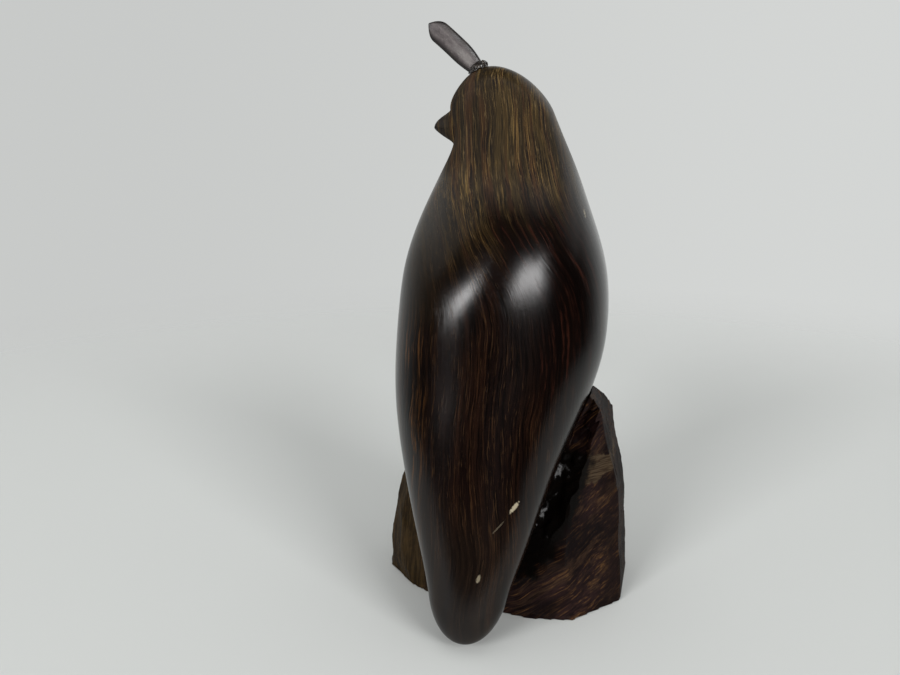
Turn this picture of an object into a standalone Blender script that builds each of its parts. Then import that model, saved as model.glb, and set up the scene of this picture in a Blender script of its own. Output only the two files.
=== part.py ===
"""Carved ironwood quail seated on a rough-hewn block.

Frame: metres, +Z up, origin at the middle of the block's underside. The bird heads towards -Y with its
tail hanging down behind at +Y, and its head is turned to its own left, towards +X.
All sizes below are in millimetres and are converted by MM where geometry is made.
"""

import math
import random

import bmesh
import bpy
import numpy as np
from mathutils import Matrix, Vector

MM = 0.001
GAP = 0.3  # between pieces that touch
SEAT_GAP = 0.45  # the same, measured level across the sloping seat

# ---------------------------------------------------------------- the bird's level slices
# Height, middle in x, half width, rear edge in y, y of the widest part, front edge in y.
# The first and last rows are the tail tip and the crown, where a rounded cap closes the form.
SLICES = (
    (2.6, 1.4, 11.7, 69.0, 64.0, 59.0),
    (13.0, 1.1, 12.7, 68.2, 59.5, 50.0),
    (30.0, 1.2, 17.9, 65.3, 51.0, 36.0),
    (52.0, 2.1, 25.8, 60.4, 37.0, 12.0),
    (76.0, 1.2, 33.8, 55.0, 24.0, -14.5),
    (92.0, -0.5, 36.9, 51.6, 18.5, -26.0),
    (108.0, -1.4, 37.5, 48.7, 15.0, -33.0),
    (124.0, -1.3, 35.8, 44.4, 12.0, -35.5),
    (144.0, -0.8, 29.3, 32.9, 6.5, -29.5),
    (158.0, -1.2, 23.3, 23.0, 3.5, -19.5),
    (168.0, -0.7, 19.4, 19.8, 3.5, -12.8),
    (178.0, 2.3, 18.1, 18.8, 3.9, -11.0),
    (186.0, 3.8, 16.2, 17.6, 4.0, -9.6),
    (191.8, 5.2, 15.2, 16.5, 4.0, -8.4),
)
TWIST = 0.35  # the back's bulge rises by this share of the way across to the right side
TAIL_CAP = 14.0  # height of the rounded tail tip
CROWN_CAP = 16.0  # height of the rounded crown
BODY_RINGS = 46
BODY_SIDES = 54
SIDE_CROWDING = 0.45  # draws the sides together towards the face

# ---------------------------------------------------------------- the beak, drawn out of the face
BEAK_HEIGHT = 170.4
BEAK_MIDDLE_Y = 4.0
BEAK_LENGTH = 7.6
BEAK_FULLNESS_ABOVE = 1.6  # 1 gives a straight outline, more gives a rounder one
BEAK_FULLNESS_BELOW = 1.25
BEAK_FADE = 4  # how abruptly it meets the face
BEAK_REACH_ABOVE = 6.8
BEAK_REACH_BELOW = 5.8
BEAK_HALF_WIDE = 5.4
BEAK_RINGS = 11  # extra rings over its height
FACE_FRONT = 5.0  # in x: only what lies beyond it is drawn out

# ---------------------------------------------------------------- the topknot and its glue
TOPKNOT_ROOT = (10.0, 4.2, 190.0)
TOPKNOT_LENGTH = 24.5
TOPKNOT_LEAN = 43.6  # degrees forward of upright at the root
TOPKNOT_CURL = 9.5  # further degrees of lean gained by the tip
TOPKNOT_THICK = 3.2
TOPKNOT_EDGE_SHARE = 0.6  # of that thickness left where the leaf narrows to nothing
TOPKNOT_ROOT_WIDE = 4.7
TOPKNOT_FULL_WIDE = 7.6
TOPKNOT_SWELL_END = 0.4  # share of the length at which it is widest
TOPKNOT_TIP_START = 0.78  # share of the length at which its tip starts to round off
TOPKNOT_TIP_BLUNTNESS = 2.1
TOPKNOT_STEPS = 22
TOPKNOT_SIDES = 16
LEAF_SIDE_POWER = 0.8  # below 1 squares up the leaf's section
LEAF_FACE_POWER = 0.6
TENON_LONG = 9.5
TENON_WIDE = 4.0
TENON_THICK = 2.2
TENON_TAPER_LONG = 0.6
TENON_TAPER_SHARE = 0.8
TENON_SHOULDER = 0.5  # of the root left as plain tenon under the leaf
GLUE_RADII = (4.3, 3.8, 3.0)  # along the blade's width, across it and up its length
GLUE_RISE = 0.3  # of its middle above the topknot's root

# ---------------------------------------------------------------- the hidden dowels
DOWEL_RADIUS = 4.0
DOWELS = (  # name, y, foot height, head height
    ("seat_dowel_front", 4.0, 36.0, 82.0),
    ("seat_dowel_rear", 24.0, 20.0, 66.0),
)
DOWEL_CHAMFER = 0.8
DOWEL_SIDES = 24
BALL_DETAIL = 3  # subdivisions of a stretched ball
SHARP_ANGLE = 40.0  # degrees between faces above which an edge is drawn sharp
CHAMFERED_ANGLE = 60.0  # degrees between faces above which an edge is chamfered

# ---------------------------------------------------------------- the hewn block
BLANK = 200.0  # side of the blank it is hewn from
# Each hewing cut: bearing of the face in degrees from +X, its inward lean in degrees, and its distance
# from the z axis at the ground.
HEWN_SIDES = (
    (0, 12, 46.8),
    (30, 11, 46.0),
    (60, 8, 37.5),
    (80, 5, 34.4),
    (140, 3, 47.5),
    (180, 3, 47.8),
    (180, 12, 54.8),
    (181, 30, 83.4),
    (215, 6, 47.5),
    (248, 7, 40.5),
    (281, 9, 39.0),
    (318, 11, 44.0),
)
# Top cuts: a point that the face passes through, and the slope it rises by along x and along y.
HEWN_TOPS = (
    ((-36.0, 9.0, 84.6), (-0.23, 0.29)),
    ((-40.0, -12.0, 70.0), (0.15, 0.62)),
    ((10.0, -34.0, 59.0), (-0.13, 0.50)),
)
CHIPS = 40  # smaller chisel facets struck off its edges
CHIP_SEED = 7
CHIP_BEARINGS = (200.0, 500.0)
CHIP_DEPTH = (0.5, 1.7)
CHIP_RISE = (-0.2, 0.1)  # how far each facet faces up or down
# The gouge cut that clears the tail along the bird's right side.
GOUGE_MIDDLE = (-24.5, 33.0, 50.0)
GOUGE_TOWARDS = (-0.33, -0.35, 0.87)
GOUGE_RADII = (7.5, 7.5, 33.0)


def reset_scene():
    for obj in list(bpy.data.objects):
        bpy.data.objects.remove(obj, do_unlink=True)


def material(name, colour, roughness):
    """A Principled material of one colour."""
    mat = bpy.data.materials.new(name)
    mat.use_nodes = True
    shader = mat.node_tree.nodes["Principled BSDF"]
    shader.inputs["Base Color"].default_value = (*colour, 1.0)
    shader.inputs["Roughness"].default_value = roughness
    shader.inputs["Metallic"].default_value = 0.0
    return mat


def natural_spline(knots, values):
    """The natural cubic through the points, as a function of one number."""
    x, y = np.array(knots, float), np.array(values, float)
    n, h = len(x), np.diff(x)
    system, right = np.eye(n), np.zeros(n)
    for i in range(1, n - 1):
        system[i, i - 1 : i + 2] = h[i - 1], 2 * (h[i - 1] + h[i]), h[i]
        right[i] = 6 * ((y[i + 1] - y[i]) / h[i] - (y[i] - y[i - 1]) / h[i - 1])
    bend = np.linalg.solve(system, right)

    def at(value):
        i = min(max(int(np.searchsorted(x, value)) - 1, 0), n - 2)
        a, b = x[i + 1] - value, value - x[i]
        return (
            (bend[i] * a**3 + bend[i + 1] * b**3) / (6 * h[i])
            + (y[i] / h[i] - bend[i] * h[i] / 6) * a
            + (y[i + 1] / h[i] - bend[i + 1] * h[i] / 6) * b
        )

    return at


def slice_curves():
    """Functions of height for the slices' middle x, half width, rear, widest y and front."""
    heights, *columns = zip(*SLICES)
    return [natural_spline(heights, column) for column in columns]


def end_cap(height, low, high):
    """The share of its full size that a slice keeps where the tail tip and the crown round off."""
    share = 1.0
    for distance, reach in ((height - low, TAIL_CAP), (high - height, CROWN_CAP)):
        if distance < reach:
            share *= math.sqrt(max(0.0, 1 - (1 - distance / reach) ** 2))
    return share


def beak_push(x, y, z):
    """How far a point of the face is drawn out along +X to form the beak."""
    if x < FACE_FRONT:
        return 0.0
    above = z > BEAK_HEIGHT
    tall = (z - BEAK_HEIGHT) / (BEAK_REACH_ABOVE if above else BEAK_REACH_BELOW)
    wide = (y - BEAK_MIDDLE_Y) / BEAK_HALF_WIDE
    away = math.hypot(tall, wide)
    if away >= 1:
        return 0.0
    fullness = BEAK_FULLNESS_ABOVE if above else BEAK_FULLNESS_BELOW
    return BEAK_LENGTH * (1 - away**fullness) * (1 - away**BEAK_FADE)


def ring_heights(rings, low, high, beak):
    """Heights of the rings: closer together at both ends, and evenly close over the beak."""
    foot, top = BEAK_HEIGHT - BEAK_REACH_BELOW, BEAK_HEIGHT + BEAK_REACH_ABOVE
    heights = [low + (high - low) * (1 - math.cos(math.pi * i / rings)) / 2 for i in range(1, rings)]
    if beak:
        heights = [height for height in heights if not foot <= height <= top]
        heights += [foot + (top - foot) * i / BEAK_RINGS for i in range(BEAK_RINGS + 1)]
    return sorted(heights)


def bird_rings(rings, sides, grow=0.0, beak=True):
    """Rings of points up the bird, from tail tip to crown. grow stands the form off all round."""
    middle, half_width, rear, widest, front = slice_curves()
    low, high = SLICES[0][0], SLICES[-1][0]
    made = []
    for height in ring_heights(rings, low, high, beak):
        share = end_cap(height, low, high)
        centre_x, centre_y = middle(height), widest(height)
        wide = half_width(height) * share + grow
        shallow = (centre_y - front(height)) * share + grow
        ring = []
        for j in range(sides):
            turn = 2 * math.pi * j / sides
            turn -= SIDE_CROWDING * math.sin(turn)
            x = centre_x + wide * math.cos(turn)
            twisted = min(max(height + TWIST * share * (x - centre_x), low), high)
            deep = (rear(twisted) - centre_y) * share + grow
            y = centre_y + (deep if math.sin(turn) > 0 else shallow) * math.sin(turn)
            push = beak_push(x, y, height) if beak else 0.0
            ring.append((x + push, y, height))
        made.append(ring)
    ends = [(middle(z), widest(z), z + off) for z, off in ((low, -grow), (high, grow))]
    return made, ends


def loft(name, rings, ends, mat=None):
    """A closed object from rings of points, closed by a fan to a point at each end."""
    mesh = bmesh.new()
    rows = [[mesh.verts.new(Vector(p) * MM) for p in ring] for ring in rings]
    foot, top = (mesh.verts.new(Vector(p) * MM) for p in ends)
    sides = len(rows[0])
    for j in range(sides):
        after = (j + 1) % sides
        mesh.faces.new((foot, rows[0][after], rows[0][j]))
        mesh.faces.new((top, rows[-1][j], rows[-1][after]))
        for lower, upper in zip(rows, rows[1:]):
            mesh.faces.new((lower[j], lower[after], upper[after], upper[j]))
    return finish_object(name, mesh, mat, smooth=True)


def finish_object(name, mesh, mat=None, smooth=False):
    """Turns a bmesh into a linked object with outward normals."""
    bmesh.ops.recalc_face_normals(mesh, faces=mesh.faces)
    data = bpy.data.meshes.new(name)
    mesh.to_mesh(data)
    mesh.free()
    obj = bpy.data.objects.new(name, data)
    bpy.context.scene.collection.objects.link(obj)
    if mat:
        data.materials.append(mat)
    if smooth:
        data.shade_smooth()
        data.set_sharp_from_angle(angle=math.radians(SHARP_ANGLE))
    return obj


def as_cutter(obj):
    obj.hide_render = True
    obj.display_type = "WIRE"
    return obj


def cut(obj, cutter):
    boolean = obj.modifiers.new(f"cut_{cutter.name}", "BOOLEAN")
    boolean.operation = "DIFFERENCE"
    boolean.object = cutter
    return boolean


def ball(name, middle, radii, mat=None):
    """A ball stretched to three radii."""
    mesh = bmesh.new()
    bmesh.ops.create_icosphere(mesh, subdivisions=BALL_DETAIL, radius=1.0)
    bmesh.ops.scale(mesh, vec=Vector(radii) * MM, verts=mesh.verts)
    obj = finish_object(name, mesh, mat, smooth=True)
    obj.location = Vector(middle) * MM
    return obj


def round_bar(name, y, foot, head, radius, mat=None):
    """An upright round bar on the x = 0 plane."""
    mesh = bmesh.new()
    bmesh.ops.create_cone(
        mesh,
        cap_ends=True,
        segments=DOWEL_SIDES,
        radius1=radius * MM,
        radius2=radius * MM,
        depth=(head - foot) * MM,
    )
    obj = finish_object(name, mesh, mat, smooth=True)
    obj.location = Vector((0, y, (foot + head) / 2)) * MM
    return obj


def dowel_chamfer(dowel):
    bevel = dowel.modifiers.new("end_chamfer", "BEVEL")
    bevel.width = DOWEL_CHAMFER * MM
    bevel.segments = 1
    bevel.limit_method = "ANGLE"
    bevel.angle_limit = math.radians(CHAMFERED_ANGLE)


# ---------------------------------------------------------------- topknot and glue
def topknot_line(steps):
    """Points up the middle of the topknot in the xz plane, each with the direction across the blade."""
    x, z = TOPKNOT_ROOT[0], TOPKNOT_ROOT[2]
    made = []
    for i in range(steps + 1):
        lean = math.radians(TOPKNOT_LEAN + TOPKNOT_CURL * i / steps)
        made.append((x, z, math.cos(lean), -math.sin(lean)))
        x += math.sin(lean) * TOPKNOT_LENGTH / steps
        z += math.cos(lean) * TOPKNOT_LENGTH / steps
    return made


def topknot_width(share):
    """Full width across the topknot, swelling from its root towards a blunt rounded tip."""
    swell = math.sin(math.pi / 2 * min(1.0, share / TOPKNOT_SWELL_END))
    wide = TOPKNOT_ROOT_WIDE + (TOPKNOT_FULL_WIDE - TOPKNOT_ROOT_WIDE) * swell
    past = max(0.0, (share - TOPKNOT_TIP_START) / (1 - TOPKNOT_TIP_START))
    return wide * (1 - past**TOPKNOT_TIP_BLUNTNESS)


def leaf_ring(place, half, thick, grow):
    """One section across the leaf, its broad faces towards +Y and -Y."""
    x, z, across_x, across_z = place
    ring = []
    for j in range(TOPKNOT_SIDES):
        turn = 2 * math.pi * j / TOPKNOT_SIDES
        c, s = math.cos(turn), math.sin(turn)
        wide = (half + grow) * math.copysign(abs(c) ** LEAF_SIDE_POWER, c)
        deep = (thick + grow) * math.copysign(abs(s) ** LEAF_FACE_POWER, s)
        ring.append((x + across_x * wide, TOPKNOT_ROOT[1] + deep, z + across_z * wide))
    return ring


def topknot_form(name, grow=0.0, mat=None):
    """A flat leaf with rounded edges, whose tenon runs down into the crown."""
    line = topknot_line(TOPKNOT_STEPS)
    x, z, across_x, across_z = line[0]
    rings = []
    tenon = (
        (TENON_LONG + grow, TENON_TAPER_SHARE),
        (TENON_LONG + grow - TENON_TAPER_LONG, 1.0),
        (TENON_SHOULDER + grow, 1.0),
    )
    for depth, share in tenon:
        place = (x + across_z * depth, z - across_x * depth, across_x, across_z)
        rings.append(leaf_ring(place, TENON_WIDE / 2 * share, TENON_THICK / 2 * share, grow))
    foot = tuple(np.mean(rings[0], axis=0))
    for i, place in enumerate(line[:-1]):
        half = topknot_width(i / TOPKNOT_STEPS) / 2
        full = 2 * half / TOPKNOT_FULL_WIDE
        thick = TOPKNOT_THICK / 2 * (TOPKNOT_EDGE_SHARE + (1 - TOPKNOT_EDGE_SHARE) * full)
        rings.append(leaf_ring(place, half, thick, grow))
    top = (line[-1][0], TOPKNOT_ROOT[1], line[-1][1])
    return loft(name, rings, (foot, top), mat)


def make_glue(mat, cutters):
    """The ring of set glue around the topknot's root: a squashed ball less the pieces it sits against."""
    lean = math.radians(TOPKNOT_LEAN)
    middle = Vector(TOPKNOT_ROOT) + Vector((math.sin(lean), 0, math.cos(lean))) * GLUE_RISE
    glue = ball("topknot_glue", middle, GLUE_RADII, mat)
    glue.rotation_euler = (0, lean, 0)
    for cutter in cutters:
        cut(glue, cutter)
    return glue


# ---------------------------------------------------------------- block
def hewing_planes():
    """The block's large faces, each as a point and the direction it faces."""
    for bearing, lean, reach in HEWN_SIDES:
        b, t = math.radians(bearing), math.radians(lean)
        normal = Vector((math.cos(b) * math.cos(t), math.sin(b) * math.cos(t), math.sin(t)))
        yield Vector((math.cos(b), math.sin(b), 0)) * reach * MM, normal
    for point, (slope_x, slope_y) in HEWN_TOPS:
        yield Vector(point) * MM, Vector((-slope_x, -slope_y, 1)).normalized()


def slice_off(mesh, point, normal):
    """Removes what lies beyond the plane and closes the cut with one flat face."""
    geometry = mesh.verts[:] + mesh.edges[:] + mesh.faces[:]
    done = bmesh.ops.bisect_plane(
        mesh, geom=geometry, plane_co=point, plane_no=normal, clear_outer=True, dist=1e-7
    )
    rim = [e for e in done["geom_cut"] if isinstance(e, bmesh.types.BMEdge)]
    if rim:
        bmesh.ops.contextual_create(mesh, geom=rim)


def make_block(mat, cutters):
    mesh = bmesh.new()
    bmesh.ops.create_cube(mesh, size=BLANK * MM, matrix=Matrix.Translation((0, 0, BLANK / 2 * MM)))
    for point, normal in hewing_planes():
        slice_off(mesh, point, normal)
    draw = random.Random(CHIP_SEED)
    for _ in range(CHIPS):
        bearing = math.radians(draw.uniform(*CHIP_BEARINGS))
        normal = Vector((math.cos(bearing), math.sin(bearing), draw.uniform(*CHIP_RISE))).normalized()
        reach = max(v.co.dot(normal) for v in mesh.verts)
        slice_off(mesh, normal * (reach - draw.uniform(*CHIP_DEPTH) * MM), normal)
    block = finish_object("base_block", mesh, mat)
    for cutter in cutters:
        cut(block, cutter)
    return block


def main():
    reset_scene()
    ironwood = material("ironwood_polished", (0.055, 0.030, 0.018), 0.32)
    hewn = material("ironwood_hewn", (0.060, 0.034, 0.020), 0.38)
    plume = material("topknot_wood", (0.085, 0.055, 0.050), 0.35)
    resin = material("set_glue", (0.30, 0.26, 0.22), 0.2)
    birch = material("dowel_wood", (0.55, 0.40, 0.24), 0.6)

    bird_room = loft("bird_room", *bird_rings(BODY_RINGS, BODY_SIDES, SEAT_GAP, beak=False))
    as_cutter(bird_room)
    gouge = as_cutter(ball("gouge", GOUGE_MIDDLE, GOUGE_RADII))
    gouge.rotation_euler = Vector(GOUGE_TOWARDS).to_track_quat("Z", "Y").to_euler()
    topknot_room = as_cutter(topknot_form("topknot_room", GAP))
    sockets = []
    for name, y, foot, head in DOWELS:
        dowel = round_bar(name, y, foot, head, DOWEL_RADIUS, birch)
        dowel_chamfer(dowel)
        socket = round_bar(f"{name}_socket", y, foot - GAP, head + GAP, DOWEL_RADIUS + GAP)
        sockets.append(as_cutter(socket))

    bird = loft("quail_body", *bird_rings(BODY_RINGS, BODY_SIDES), mat=ironwood)
    for cutter in (*sockets, topknot_room):
        cut(bird, cutter)
    topknot_form("topknot", 0.0, plume)
    make_glue(resin, (topknot_room, bird_room))
    make_block(hewn, (bird_room, gouge, *sockets))


main()
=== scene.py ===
"""Looks for the carved ironwood quail: fine meshes, wood materials, camera, floor and light.

The shapes repeat the CAD model's own design sizes at a finer resolution, in millimetres (MM converts), and
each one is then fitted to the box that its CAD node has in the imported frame.
"""

import math
import random

import bmesh
import bpy
import numpy as np
from mathutils import Matrix, Vector, noise


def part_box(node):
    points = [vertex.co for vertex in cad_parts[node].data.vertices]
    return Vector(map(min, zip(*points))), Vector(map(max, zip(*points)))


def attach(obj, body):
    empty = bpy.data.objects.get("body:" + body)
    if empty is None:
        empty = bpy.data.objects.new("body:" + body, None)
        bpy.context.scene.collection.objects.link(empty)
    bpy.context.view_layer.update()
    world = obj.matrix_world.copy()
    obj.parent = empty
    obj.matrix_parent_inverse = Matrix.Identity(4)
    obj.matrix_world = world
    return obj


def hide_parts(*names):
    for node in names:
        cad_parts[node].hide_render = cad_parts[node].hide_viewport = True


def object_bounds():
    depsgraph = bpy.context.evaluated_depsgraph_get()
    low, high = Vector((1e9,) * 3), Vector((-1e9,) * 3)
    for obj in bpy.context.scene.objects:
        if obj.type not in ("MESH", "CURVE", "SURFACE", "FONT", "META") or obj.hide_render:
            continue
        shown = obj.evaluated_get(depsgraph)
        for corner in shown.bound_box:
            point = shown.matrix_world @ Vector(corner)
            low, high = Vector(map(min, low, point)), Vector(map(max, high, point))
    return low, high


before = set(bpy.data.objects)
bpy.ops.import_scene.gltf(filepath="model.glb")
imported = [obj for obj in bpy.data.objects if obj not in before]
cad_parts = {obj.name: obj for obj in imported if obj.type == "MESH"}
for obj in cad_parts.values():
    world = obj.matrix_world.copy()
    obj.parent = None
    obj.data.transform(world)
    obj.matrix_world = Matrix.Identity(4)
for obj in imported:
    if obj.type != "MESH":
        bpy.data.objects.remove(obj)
CAD_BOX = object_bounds()
MM = 0.001

# ---------------------------------------------------------------- camera, floor and light
CAMERA_PLACE = (-0.0636, 0.3418, 0.1796)
CAMERA_HEADING = (0.2419, -0.9703)  # level direction of sight
CAMERA_PITCH = 13.93  # degrees below level
CAMERA_LENS = 38.0  # on a 36 mm sensor
FLOOR_HALF = 4.0
FLOOR_BELOW = 0.0002  # metres under the block, so that the two never share a plane
FLOOR_COLOUR = (0.68, 0.695, 0.68)
FLOOR_FADE = (260.0, 620.0)  # distances from the middle between which the floor thins out
FLOOR_NEAR_FADE = (90.0, 240.0)  # the same towards the camera
# Azimuths are degrees from +Y towards -X; the camera's is 14. The lamps shed light and the panels are
# what the polish mirrors.
LIGHTS = (  # name, azimuth, elevation, distance in m, sides in m, roll in degrees, power in W
    ("lamp_right", 45.8, 26.5, 5.0, (1.9, 1.9), 0.0, 135.0),
    ("lamp_left", -21.5, 24.5, 5.0, (1.7, 1.7), 0.0, 135.0),
    ("lamp_above", 0.0, 90.0, 3.0, (2.6, 2.6), 0.0, 18.0),
    ("panel_right", 27.5, 26.0, 5.0, (2.8, 1.3), 0.0, 195.0),
    ("panel_right_halo", 27.5, 26.5, 5.2, (4.4, 2.2), 0.0, 78.0),
    ("panel_left", -46.5, 17.8, 5.0, (1.6, 0.8), 42.0, 78.0),
    ("panel_left_halo", -46.5, 21.0, 5.2, (2.5, 1.2), 40.0, 30.0),
    ("panel_side_right", 130.0, 38.0, 4.0, (4.0, 2.4), 0.0, 12.0),
    ("panel_side_left", -108.0, 38.0, 4.0, (4.0, 2.4), 0.0, 14.0),
)
AIM = (0.0, 0.0, 0.1)
LEVEL_MOST = 0.99  # a light higher than this sine counts as straight overhead
ROOM_TINT = (0.98, 1.0, 0.985)
ROOM_SEEN = (0.67, 0.59)  # brightness behind the object, towards the right and the left of the view
ROOM_SHED = 0.30  # brightness of the room as a source of light
ROOM_MIRRORED = (0.86, 0.54)  # the same as mirrored beside and behind the object, right and left
ROOM_SEEN_SPAN = (-0.2, 0.6)  # how far to +X a direction points, between which each of these two changes
ROOM_MIRRORED_SPAN = (-0.9, 0.9)
ROOM_NEAR = 0.02  # as mirrored from the camera's side
ROOM_NEAR_SPAN = (-0.75, 0.0)  # cosines to the camera's direction between which it turns dark
ROOM_ABOVE = 0.05
ROOM_ABOVE_SPAN = (0.30, 0.75)  # sines of the elevations between which it turns dark

# ---------------------------------------------------------------- the bird, as in the CAD
# Height, middle in x, half width, rear edge in y, y of the widest part, front edge in y.
# The first and last rows are the tail tip and the crown, where a rounded cap closes the form.
SLICES = (
    (2.6, 1.4, 11.7, 69.0, 64.0, 59.0),
    (13.0, 1.1, 12.7, 68.2, 59.5, 50.0),
    (30.0, 1.2, 17.9, 65.3, 51.0, 36.0),
    (52.0, 2.1, 25.8, 60.4, 37.0, 12.0),
    (76.0, 1.2, 33.8, 55.0, 24.0, -14.5),
    (92.0, -0.5, 36.9, 51.6, 18.5, -26.0),
    (108.0, -1.4, 37.5, 48.7, 15.0, -33.0),
    (124.0, -1.3, 35.8, 44.4, 12.0, -35.5),
    (144.0, -0.8, 29.3, 32.9, 6.5, -29.5),
    (158.0, -1.2, 23.3, 23.0, 3.5, -19.5),
    (168.0, -0.7, 19.4, 19.8, 3.5, -12.8),
    (178.0, 2.3, 18.1, 18.8, 3.9, -11.0),
    (186.0, 3.8, 16.2, 17.6, 4.0, -9.6),
    (191.8, 5.2, 15.2, 16.5, 4.0, -8.4),
)
TWIST = 0.35  # the back's bulge rises by this share of the way across to the right side
TAIL_CAP, CROWN_CAP = 14.0, 16.0
BODY_RINGS, BODY_SIDES, BODY_BEAK_RINGS = 230, 190, 44
CUTTER_RINGS, CUTTER_SIDES = 90, 90
SIDE_CROWDING = 0.45
SEAT_GAP, GAP = 0.45, 0.3
HAND_WAVES = 0.14  # the sanded surface wanders this far in
HAND_WAVE_LONG = 17.0

BEAK_HEIGHT, BEAK_MIDDLE_Y = 170.4, 4.0
BEAK_LENGTH, BEAK_HALF_WIDE, BEAK_FADE = 7.6, 5.4, 4
BEAK_FULLNESS_ABOVE, BEAK_FULLNESS_BELOW = 1.6, 1.25
BEAK_REACH_ABOVE, BEAK_REACH_BELOW = 6.8, 5.8
FACE_FRONT = 5.0

TOPKNOT_ROOT = (10.0, 4.2, 190.0)
TOPKNOT_LENGTH, TOPKNOT_LEAN, TOPKNOT_CURL = 24.5, 43.6, 9.5
TOPKNOT_THICK, TOPKNOT_EDGE_SHARE = 3.2, 0.6
TOPKNOT_ROOT_WIDE, TOPKNOT_FULL_WIDE = 4.7, 7.6
TOPKNOT_SWELL_END, TOPKNOT_TIP_START, TOPKNOT_TIP_BLUNTNESS = 0.4, 0.78, 2.1
TOPKNOT_STEPS, TOPKNOT_SIDES = 88, 64
LEAF_SIDE_POWER, LEAF_FACE_POWER = 0.8, 0.6
TENON_LONG, TENON_WIDE, TENON_THICK = 9.5, 4.0, 2.2
TENON_TAPER_LONG, TENON_TAPER_SHARE, TENON_SHOULDER = 0.6, 0.8, 0.5
TENON_RINGS = 3
RIM_NARROWING = 0.9  # a leaf at full width keeps this much of its middle from counting as rim
GLUE_RADII, GLUE_RISE = (4.3, 3.8, 3.0), 0.3
GLUE_BEAD = 1.9  # length of the waves that bead it
GLUE_BEAD_DEEP = 0.16  # share of the ring's radius between the beads and the dips

DOWEL_RADIUS = 4.0
SOCKET_SIDES = 48
BALL_DETAIL = 5  # subdivisions of a stretched ball
DOWELS = (("seat_dowel_front", 4.0, 36.0, 82.0), ("seat_dowel_rear", 24.0, 20.0, 66.0))

# ---------------------------------------------------------------- the hewn block, as in the CAD
BLANK = 200.0
HEWN_SIDES = (
    (0, 12, 46.8),
    (30, 11, 46.0),
    (60, 8, 37.5),
    (80, 5, 34.4),
    (140, 3, 47.5),
    (180, 3, 47.8),
    (180, 12, 54.8),
    (181, 30, 83.4),
    (215, 6, 47.5),
    (248, 7, 40.5),
    (281, 9, 39.0),
    (318, 11, 44.0),
)
HEWN_TOPS = (
    ((-36.0, 9.0, 84.6), (-0.23, 0.29)),
    ((-40.0, -12.0, 70.0), (0.15, 0.62)),
    ((10.0, -34.0, 59.0), (-0.13, 0.50)),
)
CHIPS, CHIP_BEARINGS, CHIP_DEPTH, CHIP_RISE = 40, (200.0, 500.0), (0.5, 1.7), (-0.2, 0.1)
GOUGE_MIDDLE, GOUGE_TOWARDS, GOUGE_RADII = (-24.5, 33.0, 50.0), (-0.33, -0.35, 0.87), (7.5, 7.5, 33.0)
GOUGE_RAGGED = 0.22  # share of its radius that the gouge's wall wanders by
GOUGE_WAVE = 6.0
PAINTED_SHADE_REACH = 9.5  # how far from the gouge's middle line its painted shade goes
PAINTED_SHADE_TOP = (18.0, 12.0)  # and how far up along it
BLOCK_VOXEL = 0.75
SCOOPS = 190  # chisel strokes over the block
SCOOP_DEEP = 0.011  # rise per square millimetre away from a stroke's middle
SCOOP_LONG = 1.9  # a stroke's length against its width
SCOOP_MOST = 1.0
SCOOP_SLANT = (0.35, 1.25)  # radians above level that a stroke runs at
SCOOP_LIFT = 0.45  # millimetres that strokes differ by in depth, at most
SCOOP_TURN = 3.0  # rise where the face turns fully away from the stroke's own
SCOOP_FOOT = (0.2, 1.7)  # heights between which the strokes start, so that the underside stays flat
CHIP_SEED, SCOOP_SEED = 7, 11
LEAST_LENGTH = 1e-6  # keeps a division away from zero
SHARP_ANGLE, BLOCK_SHARP_ANGLE = 50.0, 45.0  # degrees between faces above which an edge is drawn sharp
CUT_TOLERANCE = 1e-7  # metres within which a vertex counts as on a hewing cut

# ---------------------------------------------------------------- where the wood's figure lies
FAN_CENTRE = 100.0  # the bird's grain fans out from an upright line this far in front of its middle
BACK_AT = 35.0  # where the fan keeps its true spacing, behind the middle
BEAK_BASE = 20.0  # in x
# Each pair below runs from where something has yet to start to where it is complete, in heights unless it
# says otherwise.
SHOULDERS = (108.0, 158.0)  # over which the grain leans across
SHOULDER_LEAN = 21.0
HEAD_TURNS_OLIVE = (121.0, 160.0)
LEFT_FLAMES, LEFT_FLAMES_HIGH = (12.0, 26.0), (122.0, 98.0)  # in x, and in height
RIGHT_STRIPE, RIGHT_STRIPE_HIGH = (-10.0, -20.0), (74.0, 96.0)  # across the grain, and in height
RIGHT_STRIPE_TOP = (150.0, 130.0)
LEFT_SHOULDER, LEFT_SHOULDER_TOP, LEFT_SHOULDER_FOOT = (4.0, 24.0), (152.0, 136.0), (100.0, 115.0)
TAIL_PAINTED_SHEEN = (62.0, 30.0)
BEAK_DARK_ABOVE = (150.0, 156.0)
FACE, FACE_HIGH = (6.0, 16.0), (150.0, 160.0)  # in x, and in height
HEAD_TURNS_SATIN = (138.0, 160.0)
CROWN = (148.0, 164.0)
POLISH_ROUGHNESS = (0.178, 0.34)  # on the back, and at the edges of the crown
SATIN_ROUGHNESS = 0.95
BLOCK_LEFT_END, BLOCK_RIGHT_END = (16.0, 28.0), (-38.0, -44.0)  # in x
CLEAN_CUT = (-37.0, 12.0, 54.0)
CLEAN_CUT_SHAPE = (1 / 6.0, 1 / 30.0, 1 / 5.5)  # one over its half lengths


# ================================================================ node helpers
RANGE_SOCKETS = ("Value", "From Min", "From Max", "To Min", "To Max")


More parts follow.
